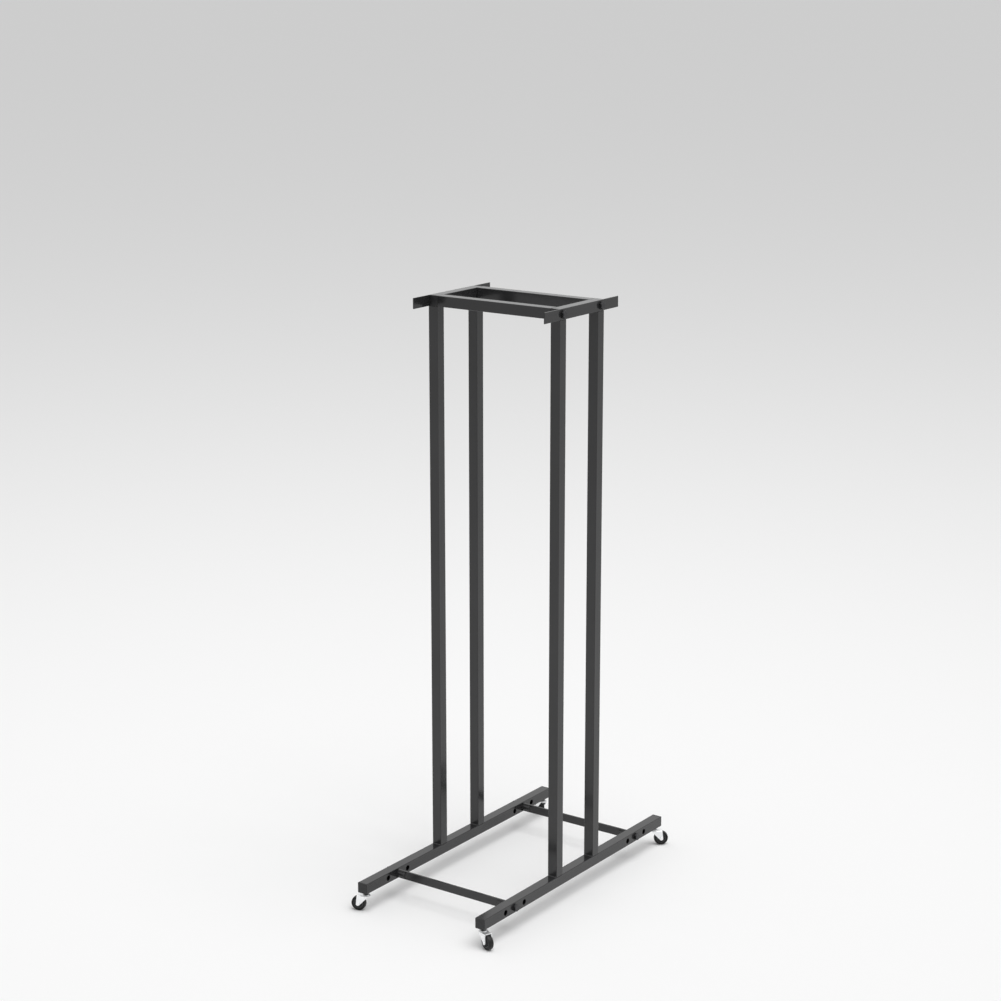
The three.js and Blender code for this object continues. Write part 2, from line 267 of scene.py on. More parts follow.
def hexagon(across_flats):
    return arc((0, 0), across_flats / math.sqrt(3), 0, 300, 5)


def prism(name, outline, length, axis, hole=None):
    """An outline drawn out along an axis, centred. A hole has as many points as the outline."""
    count = len(outline)
    loops = [outline] if hole is None else [outline, hole]
    vertices = []
    for loop in loops:
        for end in (-0.5, 0.5):
            vertices += [(x, y, end * length) for x, y in loop]
    faces = []
    for index in range(len(loops)):
        low = 2 * index * count
        high = low + count
        for i in range(count):
            j = (i + 1) % count
            faces.append((low + i, low + j, high + j, high + i))
    if hole is None:
        faces += [tuple(range(count)), tuple(range(count, 2 * count))]
    else:
        for end in (0, count):
            for i in range(count):
                j = (i + 1) % count
                inner = 2 * count + end
                faces.append((end + i, end + j, inner + j, inner + i))
    obj = add_object(name, vertices, faces)
    obj.data.transform(TURN_TO_AXIS[axis])
    return obj


def lathe(name, profile, segments, axis):
    """(radius, place) points turned about an axis. It closes on itself if it starts off the axis."""
    vertices, rings = [], []
    for radius, place in profile:
        if radius < 1e-9:
            rings.append([len(vertices)])
            vertices.append((0, 0, place))
            continue
        rings.append(list(range(len(vertices), len(vertices) + segments)))
        for step in range(segments):
            angle = 2 * math.pi * step / segments
            vertices.append((radius * math.cos(angle), radius * math.sin(angle), place))
    pairs = list(zip(rings, rings[1:]))
    if len(rings[0]) > 1:
        pairs.append((rings[-1], rings[0]))
    faces = []
    for one, two in pairs:
        for step in range(segments):
            after = (step + 1) % segments
            if len(one) == 1:
                faces.append((one[0], two[step], two[after]))
            elif len(two) == 1:
                faces.append((one[step], one[after], two[0]))
            else:
                faces.append((one[step], one[after], two[after], two[step]))
    obj = add_object(name, vertices, faces)
    obj.data.transform(TURN_TO_AXIS[axis])
    return obj


def rod(radius, length, axis, segments=40):
    return prism("rod", arc((0, 0), radius, 0, 360 - 360 / segments, segments - 1), length, axis)


def moved(obj, x, y, z):
    obj.data.transform(Matrix.Translation((x, y, z)))
    return obj


def middle(node):
    low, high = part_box(node)
    return (low + high) / 2


def extent(node):
    low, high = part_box(node)
    return high - low


def dress(obj, material, slot, body, *nodes):
    """Gives a piece its material and its body, and hides the nodes that it stands for."""
    obj.data.materials.clear()
    obj.data.materials.append(material)
    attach(obj, body)
    if nodes:
        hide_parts(*nodes)


# Materials

def start_material(name, color, roughness, metallic=0.0):
    material = bpy.data.materials.new(name)
    material.use_nodes = True
    shader = material.node_tree.nodes["Principled BSDF"]
    shader.inputs["Base Color"].default_value = (*color, 1)
    shader.inputs["Roughness"].default_value = roughness
    shader.inputs["Metallic"].default_value = metallic
    return material, shader


def noise(material, scale, detail=2.0, stretch=(1, 1, 1)):
    nodes, links = material.node_tree.nodes, material.node_tree.links
    place = nodes.new("ShaderNodeTexCoord")
    mapping = nodes.new("ShaderNodeMapping")
    mapping.inputs["Scale"].default_value = stretch
    texture = nodes.new("ShaderNodeTexNoise")
    texture.inputs["Scale"].default_value = scale
    texture.inputs["Detail"].default_value = detail
    links.new(place.outputs["Object"], mapping.inputs["Vector"])
    links.new(mapping.outputs["Vector"], texture.inputs["Vector"])
    return texture.outputs["Fac"]


def vary_color(material, shader, source, dark, light, low=0.35, high=0.65):
    nodes, links = material.node_tree.nodes, material.node_tree.links
    ramp = nodes.new("ShaderNodeValToRGB")
    ramp.color_ramp.elements[0].position = low
    ramp.color_ramp.elements[0].color = (*dark, 1)
    ramp.color_ramp.elements[1].position = high
    ramp.color_ramp.elements[1].color = (*light, 1)
    links.new(source, ramp.inputs["Fac"])
    links.new(ramp.outputs["Color"], shader.inputs["Base Color"])


def vary_roughness(material, shader, source, low, high):
    nodes, links = material.node_tree.nodes, material.node_tree.links
    spread = nodes.new("ShaderNodeMapRange")
    spread.inputs["From Min"].default_value = 0.3
    spread.inputs["From Max"].default_value = 0.7
    spread.inputs["To Min"].default_value = low
    spread.inputs["To Max"].default_value = high
    links.new(source, spread.inputs["Value"])
    links.new(spread.outputs["Result"], shader.inputs["Roughness"])


def raise_grain(material, shader, source, strength, depth):
    nodes, links = material.node_tree.nodes, material.node_tree.links
    bump = nodes.new("ShaderNodeBump")
    bump.inputs["Strength"].default_value = strength
    bump.inputs["Distance"].default_value = depth
    links.new(source, bump.inputs["Height"])
    links.new(bump.outputs["Normal"], shader.inputs["Normal"])


def make_powder_coat():
    material, shader = start_material("powder_coat", (0.021, 0.021, 0.022), 0.17)
    grey = noise(material, 9, 3)
    vary_color(material, shader, grey, (0.0195, 0.0195, 0.0202), (0.0225, 0.0226, 0.0236))
    vary_roughness(material, shader, noise(material, 45, 3), 0.14, 0.20)
    raise_grain(material, shader, noise(material, 1100, 2), 0.10, 0.12 * MM)
    return material


def make_cap_plastic():
    material, shader = start_material("cap_plastic", (0.010, 0.010, 0.011), 0.5)
    vary_color(material, shader, noise(material, 60, 3), (0.009, 0.009, 0.0095), (0.012, 0.012, 0.013))
    vary_roughness(material, shader, noise(material, 160, 2), 0.46, 0.58)
    raise_grain(material, shader, noise(material, 2600, 2), 0.18, 0.08 * MM)
    return material


def make_black_oxide():
    material, shader = start_material("black_oxide", (0.022, 0.022, 0.024), 0.38, 0.75)
    vary_color(material, shader, noise(material, 240, 4), (0.014, 0.014, 0.016), (0.034, 0.033, 0.034))
    vary_roughness(material, shader, noise(material, 420, 3), 0.3, 0.5)
    raise_grain(material, shader, noise(material, 1800, 2), 0.08, 0.05 * MM)
    return material


def make_black_zinc():
    material, shader = start_material("black_zinc", (0.055, 0.055, 0.058), 0.32, 0.8)
    vary_color(material, shader, noise(material, 240, 4), (0.047, 0.047, 0.050), (0.064, 0.064, 0.067))
    vary_roughness(material, shader, noise(material, 420, 3), 0.26, 0.40)
    raise_grain(material, shader, noise(material, 1800, 2), 0.08, 0.05 * MM)
    return material


def make_turned_steel():
    material, shader = start_material("turned_steel", (0.42, 0.42, 0.43), 0.35, 1.0)
    vary_color(material, shader, noise(material, 120, 3), (0.36, 0.36, 0.37), (0.48, 0.48, 0.49))
    vary_roughness(material, shader, noise(material, 300, 3, (12, 1, 1)), 0.28, 0.45)
    raise_grain(material, shader, noise(material, 900, 2, (14, 1, 1)), 0.08, 0.05 * MM)
    return material


def make_zinc_plate():
    material, shader = start_material("zinc_plate", (0.93, 0.94, 0.95), 0.48, 1.0)
    vary_color(material, shader, noise(material, 90, 4), (0.91, 0.92, 0.93), (0.95, 0.955, 0.96))
    vary_roughness(material, shader, noise(material, 260, 3), 0.42, 0.54)
    raise_grain(material, shader, noise(material, 1500, 2), 0.06, 0.05 * MM)
    return material


def make_tyre_rubber():
    material, shader = start_material("tyre_rubber", (0.004, 0.004, 0.0042), 0.45)
    shader.inputs["Specular IOR Level"].default_value = 0.35
    vary_color(material, shader, noise(material, 160, 4), (0.003, 0.003, 0.0032), (0.006, 0.006, 0.0063))
    vary_roughness(material, shader, noise(material, 380, 3), 0.38, 0.52)
    raise_grain(material, shader, noise(material, 2200, 2), 0.2, 0.08 * MM)
    return material


def make_hub_plastic():
    material, shader = start_material("hub_plastic", (0.035, 0.036, 0.038), 0.48)
    vary_color(material, shader, noise(material, 120, 3), (0.030, 0.031, 0.033), (0.042, 0.043, 0.045))
    vary_roughness(material, shader, noise(material, 300, 2), 0.42, 0.55)
    raise_grain(material, shader, noise(material, 2400, 2), 0.12, 0.06 * MM)
    return material


powder_coat = make_powder_coat()
cap_plastic = make_cap_plastic()
black_oxide = make_black_oxide()
black_zinc = make_black_zinc()
turned_steel = make_turned_steel()
zinc_plate = make_zinc_plate()
tyre_rubber = make_tyre_rubber()
hub_plastic = make_hub_plastic()


# Frame

def square_tube(name, node, axis, wall):
    """A drawn square tube with round corners, in the place of a node's box."""
    size = extent(node)
    width = min(size)
    length = size["XYZ".index(axis)]
    outline = rounded_rectangle(width, width, TUBE_RADIUS)
    hole = rounded_rectangle(width - 2 * wall, width - 2 * wall, TUBE_INNER_RADIUS)
    return moved(prism(name, outline, length, axis, hole), *middle(node))


def base_rail(side):
    """A tube with three bolt holes near each end, and a nut welded inside over each stem hole."""
    node = f"base_rail_{side}"
    rail = square_tube(f"{node}_tube", node, "Y", TUBE_WALL)
    x, _, z = middle(node)
    width, underside = extent(node).x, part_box(node)[0].z
    nut_level = underside + TUBE_WALL + STEM_NUT_HEIGHT / 2 - STEM_NUT_SINK
    holes, nuts = [], []
    for end in ENDS:
        y = middle(f"base_bar_{end}").y
        for step in (-1, 0, 1):
            hole = rod(BOLT_HOLE_RADIUS, width + 2 * OVERRUN, "X")
            holes.append(moved(hole, x, y + step * BOLT_HOLE_PITCH, z))
        stem = middle(f"caster_stem_{end}_{side}")
        holes.append(moved(rod(STEM_RADIUS + FIT, 4 * TUBE_WALL, "Z"), stem.x, stem.y, underside))
        nut = prism("nut", hexagon(STEM_NUT_FLATS), STEM_NUT_HEIGHT, "Z")
        combine(nut, rod(STEM_RADIUS + FIT, 2 * STEM_NUT_HEIGHT, "Z"), "DIFFERENCE")
        nuts.append(moved(soften(nut, EDGE), stem.x, stem.y, nut_level))
    combine(rail, merge(holes, "holes"), "DIFFERENCE")
    soften(rail, EDGE)
    dress(merge([rail, *nuts], f"{node}_tube"), powder_coat, "frame_paint", "rack", node)


def upright(corner):
    node = f"upright_{corner}"
    tube = soften(square_tube(f"{node}_tube", node, "Z", TUBE_WALL), EDGE)
    dress(tube, powder_coat, "frame_paint", "rack", node)


def top_rail(side):
    """A tube with its outer wall running on as a tab past both ends."""
    node = f"top_rail_{side}"
    rail = square_tube(f"{node}_tube", node, "Y", TOP_RAIL_WALL)
    low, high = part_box(node)
    centre = middle(node)
    outward = 1 if side == "right" else -1
    width = high.x - low.x
    tube_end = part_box(f"top_cap_rear_{side}")[1].y - CAP_FLANGE - FIT
    notch_width = width - TOP_RAIL_WALL + OVERRUN
    for end in (-1, 1):
        notch_length = high.y - tube_end + OVERRUN
        outline = rounded_rectangle(notch_width, 2 * width, FINE_EDGE, steps=1)
        notch = prism("notch", outline, notch_length, "Y")
        x = centre.x - outward * (TOP_RAIL_WALL + OVERRUN) / 2
        combine(rail, moved(notch, x, end * (tube_end + notch_length / 2), centre.z), "DIFFERENCE")
    for end in ENDS:
        hole = rod(BOLT_HOLE_RADIUS, width + 2 * OVERRUN, "X")
        combine(rail, moved(hole, centre.x, middle(f"top_bar_{end}").y, centre.z), "DIFFERENCE")
    soften(rail, EDGE)
    dress(rail, powder_coat, "frame_paint", "rack", node)


def top_bar(end):
    node = f"top_bar_{end}"
    tube = soften(square_tube(f"{node}_tube", node, "X", TUBE_WALL), EDGE)
    dress(tube, powder_coat, "frame_paint", "rack", node)


def base_bar(end):
    """A flat bar on edge, with a threaded bush welded in each slotted end."""
    node = f"base_bar_{end}"
    size, centre = extent(node), middle(node)
    outline = rounded_rectangle(size.z, size.y, FLAT_BAR_RADIUS)
    bar = moved(prism(f"{node}_flat", outline, size.x, "X"), *centre)
    for side in SIDES:
        bush = f"base_bush_{end}_{side}"
        low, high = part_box(bush)
        slot_outline = rounded_rectangle(high.z - low.z + 2 * FIT, 2 * size.y, FINE_EDGE, steps=1)
        slot = prism("slot", slot_outline, high.x - low.x + 2 * FIT, "X")
        combine(bar, moved(slot, *middle(bush)), "DIFFERENCE")
    dress(soften(bar, EDGE), powder_coat, "frame_paint", "rack", node)


def base_bush(corner):
    """A turned bush with a tapped bore from the rail's side and a closed, chamfered end."""
    node = f"base_bush_{corner}"
    size = extent(node)
    radius, half = size.z / 2, size.x / 2
    bore, chamfer = BOLT_RADIUS + FIT, BUSH_CHAMFER
    inward = -1 if corner.endswith("right") else 1
    profile = [(0, half), (radius - chamfer, half), (radius, half - chamfer), (radius, -half)]
    profile += [(bore, -half), (bore, half - BUSH_END), (0, half - BUSH_END)]
    profile = [(distance, inward * place) for distance, place in profile]
    bush = moved(soften(lathe(f"{node}_turned", profile, 48, "X"), EDGE), *middle(node))
    dress(bush, powder_coat, "frame_paint", "rack", node)


# Weld seams: a rippled bead in the corner between two faces, ends tapered

def bead(start, stop, side_a, side_b, leg):
    """side_a and side_b are the directions in which the bead spreads over the two faces."""
    start, stop = Vector(start), Vector(stop)
    length = (stop - start).length
    steps = max(WELD_LEAST_STEPS, int(length / WELD_RIPPLE * WELD_RIPPLE_STEPS))
    vertices, faces = [], []
    for i in range(steps + 1):
        share = i / steps
        ripple = 1 + WELD_RIPPLE_SHARE * abs(math.sin(math.pi * share * length / WELD_RIPPLE))
        taper = math.sqrt(max(0.0, min(1.0, share * length / leg, (1 - share) * length / leg)))
        reach = leg * ripple * (WELD_END_SHARE + (1 - WELD_END_SHARE) * taper)
        centre = start.lerp(stop, share)
        for j in range(WELD_SIDES + 1):
            angle = math.pi / 2 * j / WELD_SIDES
            bulge = WELD_FACE_SHARE + WELD_CROWN_SHARE * math.sin(2 * angle)
            if j in (0, WELD_SIDES):
                bulge = 1.0
            out = side_a * math.cos(angle) + side_b * math.sin(angle)
            vertices.append(centre + out * reach * bulge)
        vertices.append(centre - (side_a + side_b) * WELD_ROOT)
    ring = WELD_SIDES + 2
    for i in range(steps):
        for j in range(ring):
            k = (j + 1) % ring
            faces.append((i * ring + j, i * ring + k, (i + 1) * ring + k, (i + 1) * ring + j))
    faces.append(tuple(range(ring)))
    faces.append(tuple(range(steps * ring, (steps + 1) * ring)))
    obj = add_object("bead", vertices, faces)
    for polygon in obj.data.polygons:
        polygon.use_smooth = len(polygon.vertices) == 4
    return obj


def upright_welds(corner):
    """Beads at the foot and head of an upright: deep ones in front and behind, flat ones at the sides."""
    node = f"upright_{corner}"
    low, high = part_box(node)
    beads = []
    for z, up in ((low.z - FIT, 1), (high.z + FIT, -1)):
        along = Vector((0, 0, up))
        for y, out in ((low.y, -1), (high.y, 1)):
            if up < 0 and abs(y) > abs(middle(node).y):
                continue
            start = (low.x + TUBE_RADIUS, y, z)
            stop = (high.x - TUBE_RADIUS, y, z)
            beads.append(bead(start, stop, Vector((0, out, 0)), along, WELD_LEG))
        for face, out in ((low.x, -1), (high.x, 1)):
            x = face - out * SIDE_WELD_INSET
            level = z - up * SIDE_WELD_SINK
            start, stop = (x, low.y + TUBE_RADIUS, level), (x, high.y - TUBE_RADIUS, level)
            beads.append(bead(start, stop, Vector((out, 0, 0)), along, SIDE_WELD_LEG))
    dress(merge(beads, f"weld_seams_{corner}"), powder_coat, "frame_paint", "rack")


def bush_welds(corner):
    """Beads where a bush passes through the flat bar: along it above and below, and round its end."""
    low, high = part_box(f"base_bush_{corner}")
    centre = middle(f"base_bush_{corner}")
    bar = extent(f"base_bar_{corner.split('_')[0]}").y / 2
    radius = (high.z - low.z) / 2
    rise = math.sqrt(radius ** 2 - bar ** 2)
    inward = -1 if corner.endswith("right") else 1
    end = high.x if inward > 0 else low.x
    beads = []
    for out in (-1, 1):
        y = centre.y + out * bar
        across = Vector((0, out, 0))
        for up in (-1, 1):
            z = centre.z + up * rise
            start, stop = (low.x + EDGE, y, z), (high.x, y, z)
            beads.append(bead(start, stop, across, Vector((0, 0, up)), BUSH_WELD_LEG))
        start, stop = (end, y, centre.z - rise), (end, y, centre.z + rise)
        beads.append(bead(start, stop, across, Vector((inward, 0, 0)), BUSH_WELD_LEG))
    dress(merge(beads, f"bush_seams_{corner}"), powder_coat, "frame_paint", "rack")


# End caps and bolts

def end_cap(node, end):
    """A moulded cap: a softly crowned flange with a plug behind it."""
    low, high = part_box(node)
    centre = middle(node)
    outward = 1 if end == "rear" else -1
    width, height = high.x - low.x, high.z - low.z
    edge_place = CAP_FLANGE / 2 - CAP_CROWN
    face = centre.y + outward * ((high.y - low.y) / 2 - CAP_FLANGE / 2)
    loops = [(0.0, -CAP_FLANGE / 2), (0.0, edge_place)]
    for step in range(1, CAP_CROWN_STEPS + 1):
        angle = math.pi / 2 * step / CAP_CROWN_STEPS
        loops.append((CAP_CROWN * (1 - math.cos(angle)), edge_place + CAP_CROWN * math.sin(angle)))
    vertices, faces = [], []
    for inset, place in loops:
        radius = max(TUBE_RADIUS - inset, FINE_EDGE)
        outline = rounded_rectangle(width - 2 * inset, height - 2 * inset, radius)
        vertices += [(x, outward * place, z) for x, z in outline]
    count = len(outline)
    for ring in range(len(loops) - 1):
        for i in range(count):
            j = (i + 1) % count
            low_ring, high_ring = ring * count, (ring + 1) * count
            faces.append((low_ring + i, low_ring + j, high_ring + j, high_ring + i))
    faces.append(tuple(range(count)))
    faces.append(tuple(range((len(loops) - 1) * count, len(loops) * count)))
    cap = moved(add_object(f"{node}_flange", vertices, faces), centre.x, face, centre.z)
    soften(cap, FINE_EDGE)
    wall = TUBE_WALL if node.startswith("base") else TOP_RAIL_WALL
    plug_width = height - 2 * (wall + FIT)
    plug_x = centre.x
    if node.startswith("top"):
        plug_x = middle(f"top_rail_{node.rsplit('_', 1)[1]}").x
    depth = (high.y - low.y) - CAP_FLANGE
    plug = prism("plug", rounded_rectangle(plug_width, plug_width, TUBE_INNER_RADIUS), depth, "Y")
    moved(soften(plug, EDGE), plug_x, face - outward * (CAP_FLANGE + depth) / 2, centre.z)
    dress(merge([cap, plug], f"{node}_moulding"), cap_plastic, "black_plastic", "rack", node)


def bolt(node, side):
    """A hexagon bolt along X: chamfered head, washer face under it and a shank with a pointed end."""
    low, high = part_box(node)
    centre = middle(node)
    outward = 1 if side == "right" else -1
    height = BOLT_HEAD_HEIGHT - BOLT_WASHER_FACE
    head = prism("head", hexagon(BOLT_HEAD_FLATS), height, "Z")
    half = height / 2
    rim = BOLT_RIM_SHARE * BOLT_HEAD_FLATS
    wide = BOLT_HEAD_FLATS / math.sqrt(3) + OVERRUN
    cone = [(0, -half - OVERRUN), (wide, -half - OVERRUN), (wide, half - BOLT_HEAD_CHAMFER)]
    cone += [(rim, half + SKIM), (0, half + SKIM)]
    combine(head, lathe("cone", cone, 60, "Z"), "INTERSECT")
    soften(head, FINE_EDGE, angle=20)
    moved(head, 0, 0, BOLT_WASHER_FACE + half)
    face = [(0, 0), (rim, 0), (rim, BOLT_WASHER_FACE), (0, BOLT_WASHER_FACE)]
    under = soften(lathe("under", face, 48, "Z"), THIN_EDGE)
    reach = (high.x - low.x) - BOLT_HEAD_HEIGHT
    profile = [(0, -reach), (BOLT_RADIUS - BOLT_POINT, -reach), (BOLT_RADIUS, -reach + BOLT_POINT)]
    profile += [(BOLT_RADIUS, 0), (0, 0)]
    shank = soften(lathe("shank", profile, 40, "Z"), FINE_EDGE)
    whole = merge([head, under, shank], f"{node}_hexagon")
    whole.data.transform(Matrix.Rotation(outward * math.pi / 2, 4, "Y"))
    inner = high.x if outward > 0 else low.x
    moved(whole, inner - outward * BOLT_HEAD_HEIGHT, centre.y, centre.z)
    dress(whole, black_zinc, "black_steel", "rack", node)


# Casters, built at the stem's axis with the wheel trailing along +X, then set in place

def joint_place(name):
    for joint in frame["joints"]:
        if joint["name"] == name:
            return Vector(joint["pos_m"])
    raise KeyError(name)


def caster_places(corner):
    swivel = joint_place(f"caster_swivel_{corner}")
    axle = joint_place(f"caster_roll_{corner}")
    trail = Vector((axle.x - swivel.x, axle.y - swivel.y))
    heading = math.atan2(trail.y, trail.x)
    mounting = Matrix.Translation((swivel.x, swivel.y, 0))
    return mounting, mounting @ Matrix.Rotation(heading, 4, "Z"), trail.length, axle.z


def caster_stem(corner, mounting):
    """A stem with a hexagonal collar under the rail and a journal riveted over below the crown."""
    node = f"caster_stem_{corner}"
    low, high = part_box(node)
    neck_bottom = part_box(f"caster_bearing_{corner}")[1].z + FIT
    rail_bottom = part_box(f"base_rail_{corner.split('_')[1]}")[0].z
    rivet_top = low.z + RIVET_HEIGHT
    profile = [(0, low.z + RIVET_DIMPLE), (RIVET_FACE_RADIUS, low.z)]
    profile += [(RIVET_SHOULDER_RADIUS, low.z + RIVET_SHOULDER_RISE)]
    profile += [(RIVET_RADIUS, low.z + RIVET_SIDE_FOOT), (RIVET_RADIUS, rivet_top)]
    profile += [(JOURNAL_RADIUS, rivet_top), (JOURNAL_RADIUS, neck_bottom), (STEM_RADIUS, neck_bottom)]
    profile += [(STEM_RADIUS, high.z - STEM_POINT), (STEM_RADIUS - STEM_POINT, high.z), (0, high.z)]
    shaft = soften(lathe("shaft", profile, 40, "Z"), FINE_EDGE)
    collar = prism("collar", hexagon(STEM_NUT_FLATS), STEM_COLLAR_HEIGHT, "Z")
    half = STEM_COLLAR_HEIGHT / 2
    rim = STEM_RIM_SHARE * STEM_NUT_FLATS
    wide = STEM_NUT_FLATS / math.sqrt(3) + OVERRUN
    cone = [(0, -half - SKIM / 2), (rim, -half - SKIM / 2), (wide, -half + STEM_COLLAR_CHAMFER)]
    cone += [(wide, half + OVERRUN), (0, half + OVERRUN)]
    combine(collar, lathe("cone", cone, 60, "Z"), "INTERSECT")
    soften(collar, FINE_EDGE, angle=20)
    moved(collar, 0, 0, rail_bottom - FIT - half)
    stem = merge([shaft, collar], f"{node}_turned")
    stem.data.transform(mounting)
    dress(stem, black_oxide, "black_steel", "rack", node)


def caster_bearing(corner, mounting):
    """A swivel ring: a pressed cup over the balls, domed towards the neck."""
    node = f"caster_bearing_{corner}"
    low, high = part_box(node)
    radius = (high.x - low.x) / 2
    bore = JOURNAL_RADIUS + FIT
    rise = high.z - low.z - BEARING_RIM
    profile = [(bore, low.z), (radius - EDGE, low.z), (radius, low.z + EDGE)]
    for step in range(DOME_STEPS + 1):
        angle = math.pi / 2 * step / DOME_STEPS
        dome = radius - BEARING_DOME * (1 - math.cos(angle))
        profile.append((dome, low.z + BEARING_RIM + rise * math.sin(angle)))
    profile.append((bore, high.z))
    ring = lathe(f"{node}_race", profile, 64, "Z")
    soften(ring, THIN_EDGE, segments=1, angle=50)
    ring.data.transform(mounting)
    dress(ring, zinc_plate, "zinc_plate", "rack", node)


def fork_silhouette(trail, axle_height, crown_top):
    """The side plates' outline: a V from the crown down to a round lug at the axle."""
    rear_bottom = crown_top - FORK_REAR_DEPTH
    along = Vector((-FORK_REAR_REACH - trail, rear_bottom - axle_height))
    towards = math.degrees(math.atan2(along.y, along.x))
    start = towards + math.degrees(math.acos(FORK_LUG_RADIUS / along.length))
    corner = (FORK_CORNER_RADIUS - FORK_REAR_REACH, rear_bottom + FORK_CORNER_RISE)
    points = [(-FORK_REAR_REACH, crown_top + OVERRUN)]
    points += arc(corner, FORK_CORNER_RADIUS, 180, start, 6)
    points += arc((trail, axle_height), FORK_LUG_RADIUS, start, 360, 24)
    points.append((trail + FORK_LUG_RADIUS - FORK_FRONT_LEAN, crown_top + OVERRUN))
    return points


def caster_fork(corner, swivel, trail, axle_height):
    """A pressed steel fork: a folded channel cut to the side plates' outline, and a round crown."""
    node = f"caster_fork_{corner}"
    crown_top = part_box(node)[1].z
    half, bend = FORK_HALF_WIDTH, FORK_BEND_RADIUS
    bend_middle = (half - bend, crown_top - bend)
    inner_half, inner_top = half - FORK_PLATE, crown_top - FORK_PLATE
    foot = axle_height - FORK_LUG_RADIUS - OVERRUN
    outer = [(half, foot)] + arc(bend_middle, bend, 0, 90, 6)
    outer += [(-y, z) for y, z in reversed(outer)]
    inner = [(inner_half, foot)] + arc(bend_middle, bend - FORK_PLATE, 0, 90, 6)
    inner += [(-y, z) for y, z in reversed(inner)]
    length = trail + FORK_LUG_RADIUS + CROWN_RADIUS
    channel = prism(f"{node}_pressing", outer + list(reversed(inner)), length, "Z")
    channel.data.transform(ALONG_X_UPRIGHT)
    moved(channel, trail + FORK_LUG_RADIUS + OVERRUN - length / 2, 0, 0)
    silhouette = prism("silhouette", fork_silhouette(trail, axle_height, crown_top), 4 * half, "Z")
    silhouette.data.transform(Matrix.Rotation(math.pi / 2, 4, "X"))
    combine(channel, silhouette, "INTERSECT")
    crown_profile = [(0, inner_top), (CROWN_RADIUS, inner_top), (CROWN_RADIUS, crown_top), (0, crown_top)]
    combine(channel, lathe("crown", crown_profile, 64, "Z"), "UNION")
    stem_hole = moved(rod(JOURNAL_RADIUS + FIT, 6 * FORK_PLATE, "Z"), 0, 0, crown_top)
    combine(channel, stem_hole, "DIFFERENCE")
    axle_hole = moved(rod(AXLE_RADIUS + FIT, 4 * half, "Y"), trail, 0, axle_height)
    combine(channel, axle_hole, "DIFFERENCE")
    soften(channel, FORK_EDGE, angle=40)
    channel.data.transform(swivel)
    dress(channel, zinc_plate, "zinc_plate", f"swivel_{corner}", node)


def caster_axle(corner, swivel, trail, axle_height):
    """A rivet with domed heads outside the fork's plates."""
    node = f"caster_axle_{corner}"
    inner = FORK_HALF_WIDTH + FIT
    rim = inner + AXLE_HEAD_RIM
    rise = AXLE_HEAD_HEIGHT - AXLE_HEAD_RIM
    one = [(AXLE_RADIUS, inner), (AXLE_HEAD_RADIUS, inner), (AXLE_HEAD_RADIUS, rim)]
    for step in range(1, DOME_STEPS):
        angle = math.pi / 2 * step / DOME_STEPS
        one.append((AXLE_HEAD_RADIUS * math.cos(angle), rim + rise * math.sin(angle)))
    one.append((0, rim + rise))
    other = [(radius, -place) for radius, place in reversed(one)]
    axle = lathe(f"{node}_rivet", other + one, 48, "Y")
    soften(axle, AXLE_HEAD_EDGE, segments=1, angle=50)
    moved(axle, trail, 0, axle_height)
    axle.data.transform(swivel)
    dress(axle, zinc_plate, "zinc_plate", f"swivel_{corner}", node)


def caster_hub(corner, swivel, trail, axle_height):
    """A moulded hub: rim, web and boss, with ribs in both faces."""
    node = f"caster_hub_{corner}"
    rim = axle_height - TYRE_DEPTH - FIT
    rim_inner = rim - HUB_RIM_DEPTH
    half, web, bore = WHEEL_WIDTH / 2, HUB_WEB / 2, AXLE_RADIUS + FIT
    rim_face = half - HUB_RIM_INSET
    one = [(bore, half), (HUB_BOSS_RADIUS, half), (HUB_BOSS_RADIUS + HUB_BOSS_DRAFT, web)]
    one += [(rim_inner - HUB_RIM_DRAFT, web), (rim_inner, rim_face), (rim, rim_face)]
    other = [(radius, -place) for radius, place in one]
    shells = [soften(lathe("hub", other + list(reversed(one)), 64, "Y"), EDGE)]
    span = rim_inner - HUB_BOSS_RADIUS + HUB_RIB_BITE
    depth = half - web - HUB_RIB_INSET
    rib_outline = rounded_rectangle(span, HUB_RIB_THICKNESS, EDGE, steps=3)
    for face in (-1, 1):
        for rib in range(HUB_RIBS):
            plate = prism("rib", rib_outline, depth, "Z")
            moved(plate, HUB_BOSS_RADIUS + span / 2, 0, 0)
            plate.data.transform(Matrix.Rotation(2 * math.pi * rib / HUB_RIBS, 4, "Z"))
            plate.data.transform(TURN_TO_AXIS["Y"])
            moved(soften(plate, FINE_EDGE), 0, face * (web + depth / 2), 0)
            shells.append(plate)
    hub = moved(merge(shells, f"{node}_moulding"), trail, 0, axle_height)
    hub.data.transform(swivel)
    dress(hub, hub_plastic, "hub_plastic", f"wheel_{corner}", node)


